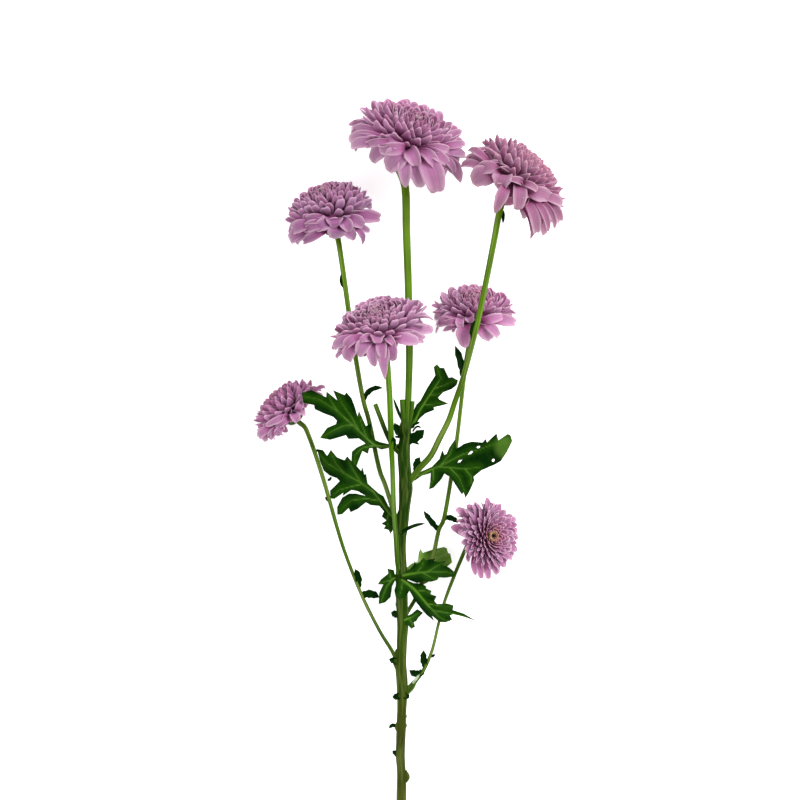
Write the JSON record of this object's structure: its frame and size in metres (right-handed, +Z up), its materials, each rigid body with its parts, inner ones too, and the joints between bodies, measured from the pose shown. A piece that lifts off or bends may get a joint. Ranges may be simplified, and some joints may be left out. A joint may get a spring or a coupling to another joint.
{
  "type": "button pompon chrysanthemum cut spray",
  "caption": "Cut spray of a mauve button pompon chrysanthemum: domed double flower heads on thin side stems off one leafy main stem, lying on a surface.",
  "frame": {"origin": "on the surface the spray lies on, under the middle of its outline", "axes": "+Z up from the surface, +Y along the main stem from the cut end to the top flower head, +X to the right in the picture"},
  "size_m": [0.136, 0.3342, 0.0701],
  "materials": {
    "mauve_florets": "soft petals, paler at the rims and magenta in the gaps",
    "calyx_green": "matte green bracts",
    "eye_green": "matte unopened florets",
    "leaf_green": "satin dark leaf with lighter veins",
    "stalk_green": "satin ribbed stem"
  },
  "bodies": {
    "root": {"florets_1": "mauve_florets", "calyx_1": "calyx_green", "eye_1": "eye_green", "florets_2": "mauve_florets", "calyx_2": "calyx_green", "eye_2": "eye_green", "florets_3": "mauve_florets", "calyx_3": "calyx_green", "eye_3": "eye_green", "florets_4": "mauve_florets", "calyx_4": "calyx_green", "eye_4": "eye_green", "florets_5": "mauve_florets", "calyx_5": "calyx_green", "eye_5": "eye_green", "florets_6": "mauve_florets", "calyx_6": "calyx_green", "eye_6": "eye_green", "florets_7": "mauve_florets", "calyx_7": "calyx_green", "eye_7": "eye_green", "leaf_A": "leaf_green", "leaf_B": "leaf_green", "leaf_C": "leaf_green", "leaf_D": "leaf_green", "leaf_E": "leaf_green", "leaf_F": "leaf_green", "leaf_G": "leaf_green", "leaf_H": "leaf_green", "leaf_I": "leaf_green", "main_stem": "stalk_green", "side_stem_2": "stalk_green", "side_stem_3": "stalk_green", "side_stem_4": "stalk_green", "side_stem_5": "stalk_green", "side_stem_6": "stalk_green", "side_stem_7": "stalk_green"}
  },
  "joints": []
}
